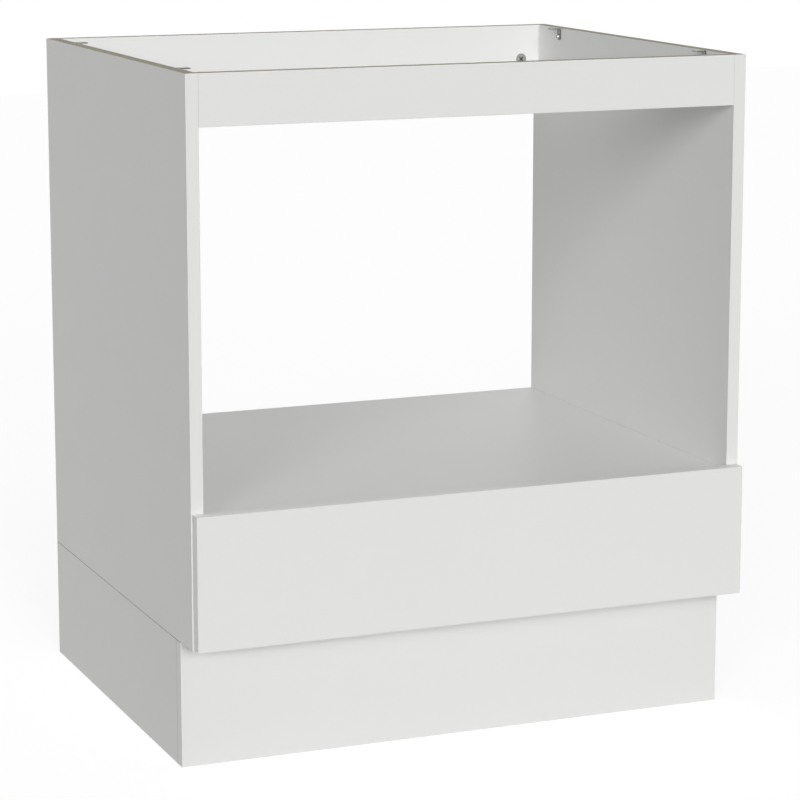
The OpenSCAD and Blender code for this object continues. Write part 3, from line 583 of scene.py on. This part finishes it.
class CABINET_OT_dress_carcass(bpy.types.Operator):
    """Finish the side panels, rails, shelf, bottom, rear panel and their edge bands"""
    bl_idname = "cabinet.dress_carcass"
    bl_label = "Carcass"

    def execute(self, context):
        look = context.scene.cabinet_boards
        dress(["side_left", "side_right"], melamine(look, X_AXIS), look.edge_radius)
        dress(["front_rail", "back_rail"], melamine(look, Y_AXIS, cut_axis=X_AXIS), look.edge_radius)
        dress(["niche_shelf", "bottom_panel"], melamine(look, Z_AXIS, cut_axis=X_AXIS), look.edge_radius)
        dress(["rear_panel"], hardboard(look, painted_side=(0, -1, 0)), look.edge_radius)
        band = satin_plastic("satin_edge_band", look.band, look.band_gloss, reflection=look.sheen)
        dress(["carcass_edge_bands"], band, look.band_radius, segments=3)
        return {"FINISHED"}


class CABINET_OT_dress_plinth(bpy.types.Operator):
    """Finish the four boards of the plinth box"""
    bl_idname = "cabinet.dress_plinth"
    bl_label = "Plinth"

    def execute(self, context):
        look = context.scene.cabinet_boards
        dress(["plinth_front"], melamine(look, Y_AXIS, banded_axis=X_AXIS), look.band_radius)
        sides = melamine(look, X_AXIS, cut_axis=Y_AXIS, joint="open")
        dress(["plinth_side_left", "plinth_side_right"], sides, look.edge_radius)
        dress(["plinth_back"], melamine(look, Y_AXIS, cut_axis=X_AXIS), look.edge_radius)
        return {"FINISHED"}


class CABINET_OT_dress_drawer(bpy.types.Operator):
    """Finish the drawer front and the drawer box"""
    bl_idname = "cabinet.dress_drawer"
    bl_label = "Drawer"

    def execute(self, context):
        look, metal = context.scene.cabinet_boards, context.scene.cabinet_metal
        dress(["drawer_front"], melamine(look, Y_AXIS), look.edge_radius)
        dress(["drawer_back"], melamine(look, Y_AXIS, cut_axis=X_AXIS), look.edge_radius)
        sides = melamine(look, X_AXIS, cut_axis=Y_AXIS)
        dress(["drawer_side_left", "drawer_side_right"], sides, look.edge_radius)
        dress(["drawer_bottom"], hardboard(look, painted_side=Z_AXIS))
        band = satin_plastic("satin_edge_band", look.band, look.band_gloss, reflection=look.sheen)
        dress(["drawer_front_bands", "drawer_box_bands"], band, look.band_radius, segments=3)
        buffer = satin_plastic("milky_buffer", metal.buffer, roughness=0.38, pearl=0.0008, depth=0.00004,
                               drift=0.04)
        dress(["drawer_buffers"], buffer, look.band_radius, segments=3)
        return {"FINISHED"}


class CABINET_OT_dress_slides(bpy.types.Operator):
    """Finish the telescopic slides, their balls, cages, stops and levers"""
    bl_idname = "cabinet.dress_slides"
    bl_label = "Slides"

    def execute(self, context):
        metal = context.scene.cabinet_metal
        rolled = drawn_surface("rolled_slide_steel", metal.slide_zinc, roughness=0.34, axis=Y_AXIS,
                               line=0.0007, contrast=0.16, depth=0.00003)
        cage = drawn_surface("cage_steel", metal.slide_zinc, roughness=0.42, axis=Y_AXIS, line=0.0004,
                             contrast=0.2, depth=0.00002)
        ball = mottled_metal(metal, "polished_ball_steel", metal.ball_steel, roughness=0.12, patch=0.002,
                             contrast=0.05, depth=0.000002)
        sides = ("left", "right")
        dress([f"slide_{member}_{side}" for member in ("outer", "middle", "inner") for side in sides],
              rolled, metal.sheet_edge)
        dress([f"{row}_cage_{side}" for row in ("outer", "inner") for side in sides], cage)
        dress([f"{row}_balls_{side}" for row in ("outer", "inner") for side in sides], ball)
        lever = satin_plastic("moulded_lever_plastic", metal.plastic, roughness=0.42, pearl=0.0005,
                              depth=0.00006, drift=0.15)
        dress([f"release_lever_{side}" for side in sides], lever, metal.fitting_edge)
        rubber = satin_plastic("soft_stop_rubber", metal.rubber, roughness=0.85, pearl=0.0007,
                               depth=0.00012, drift=0.2)
        dress(["slide_rear_stops"], rubber, metal.fitting_edge)
        return {"FINISHED"}


class CABINET_OT_dress_fittings(bpy.types.Operator):
    """Finish the cams, bolts, brackets, screws and dowels"""
    bl_idname = "cabinet.dress_fittings"
    bl_label = "Fittings"

    def execute(self, context):
        metal = context.scene.cabinet_metal
        cast = mottled_metal(metal, "cast_cam_zinc", metal.cast_zinc, roughness=0.46, patch=0.0012,
                             contrast=0.28, depth=0.00006)
        plated = mottled_metal(metal, "plated_bracket_zinc", metal.bracket_zinc, roughness=0.33, patch=0.0030,
                               contrast=0.22, depth=0.00002)
        bright = mottled_metal(metal, "bright_screw_zinc", metal.screw_zinc, roughness=0.24, patch=0.0010,
                               contrast=0.12, depth=0.00001)
        places = ("rail", "shelf", "bottom", "drawer")
        dress([f"{place}_cams" for place in places], cast, metal.fitting_edge)
        dress([f"{place}_cam_bolts" for place in places], bright)
        dress(["worktop_brackets", "plinth_brackets"], plated, metal.fitting_edge)
        dress(["worktop_bracket_screws", "plinth_bracket_screws", "slide_outer_screws", "slide_inner_screws",
               "drawer_back_screws", "drawer_bottom_screws"], bright)
        wood = {"roughness": 0.6, "line": 0.0006, "contrast": 0.5, "depth": 0.0001, "metallic": 0.0}
        dress(["plinth_dowels", "rail_dowels", "shelf_dowels", "bottom_dowels"],
              drawn_surface("beech_across", metal.beech, axis=X_AXIS, **wood))
        dress(["drawer_dowels"], drawn_surface("beech_along", metal.beech, axis=Y_AXIS, **wood))
        return {"FINISHED"}


class CABINET_OT_mark_cams(bpy.types.Operator):
    """Cast a small arrow on each cam, pointing to its bolt"""
    bl_idname = "cabinet.mark_cams"
    bl_label = "Cam arrows"

    def execute(self, context):
        metal = context.scene.cabinet_metal
        cast = bpy.data.materials["cast_cam_zinc"]
        for node, body in (("rail_cams", "carcass"), ("shelf_cams", "carcass"), ("bottom_cams", "carcass"),
                           ("drawer_cams", "drawer")):
            mesh = bmesh.new()
            for low, high in solids_of(node):
                middle, half = (low + high) / 2, (high - low) / 2
                outward = Vector((1 if middle.x > 0 else -1, 0, 0))
                out, ahead, reach = Vector((0, 0, -1)), outward, half.x
                if node == "rail_cams":
                    out = Vector((0, -1 if middle.y > 0 else 1, 0))
                elif node == "drawer_cams":
                    out, ahead, reach = -outward, Vector((0, -1, 0)), half.y
                top = Vector(middle[i] + out[i] * half[i] for i in range(3))
                place = top + ahead * reach * metal.arrow_place
                add_arrow(mesh, place, ahead, out, metal.arrow, metal.arrow_rise)
            mesh_piece(node.replace("cams", "cam_arrows"), mesh, cast, body)
        return {"FINISHED"}


class CABINET_OT_set_stage(bpy.types.Operator):
    """Set up the camera, the lights, the floor and the pale room"""
    bl_idname = "cabinet.set_stage"
    bl_label = "Stage"

    def execute(self, context):
        scene, look = context.scene, context.scene.cabinet_stage
        scene.view_settings.view_transform = "Standard"

        lens = bpy.data.cameras.new("photo_camera")
        lens.sensor_width = SENSOR_WIDTH
        lens.lens = look.focal_length
        lens.shift_y = look.frame_shift
        camera = bpy.data.objects.new("photo_camera", lens)
        camera.location = look.camera_place
        camera.rotation_euler = (math.pi / 2 - look.camera_drop, 0, -look.camera_turn)
        scene.collection.objects.link(camera)
        scene.camera = camera

        for name in ("front", "side"):
            light = bpy.data.lights.new(name + "_light", "SUN")
            light.energy = getattr(look, name + "_strength")
            light.angle = getattr(look, name + "_softness")
            lamp = bpy.data.objects.new(name + "_light", light)
            height, side = getattr(look, name + "_height"), getattr(look, name + "_side")
            lamp.rotation_euler = (math.pi / 2 - height, 0, -side)
            scene.collection.objects.link(lamp)
        self.build_floor(scene, look)
        self.build_room(scene, look)
        return {"FINISHED"}

    def build_floor(self, scene, look):
        reach = look.floor_reach
        corners = ((-reach, -reach), (reach, -reach), (reach, reach), (-reach, reach))
        mesh = bmesh.new()
        mesh.faces.new([mesh.verts.new((x, y, 0)) for x, y in corners])
        data = bpy.data.meshes.new("floor")
        mesh.to_mesh(data)
        mesh.free()
        floor = bpy.data.objects.new("floor", data)
        scene.collection.objects.link(floor)
        material = bpy.data.materials.new("pale_floor")
        material.use_nodes = True
        maker = NodeMaker(material.node_tree)
        material.node_tree.nodes.clear()
        bare = maker.add("ShaderNodeBsdfDiffuse", {"Color": rgba(look.floor)}).outputs[0]
        faint = maker.add("ShaderNodeBsdfDiffuse", {"Color": rgba(look.floor, look.floor_shade)}).outputs[0]
        glow = maker.add("ShaderNodeEmission", {"Color": WHITE, "Strength": look.floor_lift}).outputs[0]
        seen = maker.add("ShaderNodeAddShader", {0: faint, 1: glow}).outputs[0]
        both = maker.add("ShaderNodeMixShader", {0: seen_directly(maker), 1: bare, 2: seen}).outputs[0]
        maker.add("ShaderNodeOutputMaterial", {"Surface": both})
        data.materials.append(material)

    def build_room(self, scene, look):
        world = bpy.data.worlds.new("pale_room")
        world.use_nodes = True
        world.node_tree.nodes.clear()
        maker = NodeMaker(world.node_tree)
        direction = maker.add("ShaderNodeTexCoord").outputs["Generated"]
        height = maker.add("ShaderNodeSeparateXYZ", {"Vector": direction}).outputs["Z"]
        above = maker.math("MAXIMUM", height, 0.0)
        strength = maker.math("MULTIPLY_ADD", above, look.zenith - look.horizon, look.horizon)
        lit = maker.add("ShaderNodeBackground", {"Color": WHITE, "Strength": strength}).outputs[0]
        white = maker.add("ShaderNodeBackground", {"Color": WHITE, "Strength": 1.0}).outputs[0]
        both = maker.add("ShaderNodeMixShader", {0: seen_directly(maker), 1: lit, 2: white}).outputs[0]
        maker.add("ShaderNodeOutputWorld", {"Surface": both})
        scene.world = world


STEPS = (CABINET_OT_dress_carcass, CABINET_OT_dress_plinth, CABINET_OT_dress_drawer, CABINET_OT_dress_slides,
         CABINET_OT_dress_fittings, CABINET_OT_mark_cams, CABINET_OT_set_stage)
LOOKS = {"cabinet_boards": BoardLook, "cabinet_metal": MetalLook, "cabinet_stage": StageLook}


class CABINET_PT_steps(bpy.types.Panel):
    """Lists the steps that dress the cabinet and the values that they use"""
    bl_idname = "CABINET_PT_steps"
    bl_label = "Kitchen base cabinet"
    bl_space_type = "VIEW_3D"
    bl_region_type = "UI"
    bl_category = "Cabinet"

    def draw(self, context):
        for step in STEPS:
            self.layout.operator(step.bl_idname)
        for name, look in LOOKS.items():
            box = self.layout.box()
            for prop in look.__annotations__:
                box.prop(getattr(context.scene, name), prop)


def register():
    for look in LOOKS.values():
        bpy.utils.register_class(look)
    for name, look in LOOKS.items():
        setattr(bpy.types.Scene, name, bpy.props.PointerProperty(type=look))
    for step in (*STEPS, CABINET_PT_steps):
        bpy.utils.register_class(step)


def unregister():
    for step in reversed((*STEPS, CABINET_PT_steps)):
        bpy.utils.unregister_class(step)
    for name, look in LOOKS.items():
        delattr(bpy.types.Scene, name)
        bpy.utils.unregister_class(look)


def main():
    register()
    for step in STEPS:
        group, name = step.bl_idname.split(".")
        getattr(getattr(bpy.ops, group), name)()


if __name__ == "__main__":
    main()
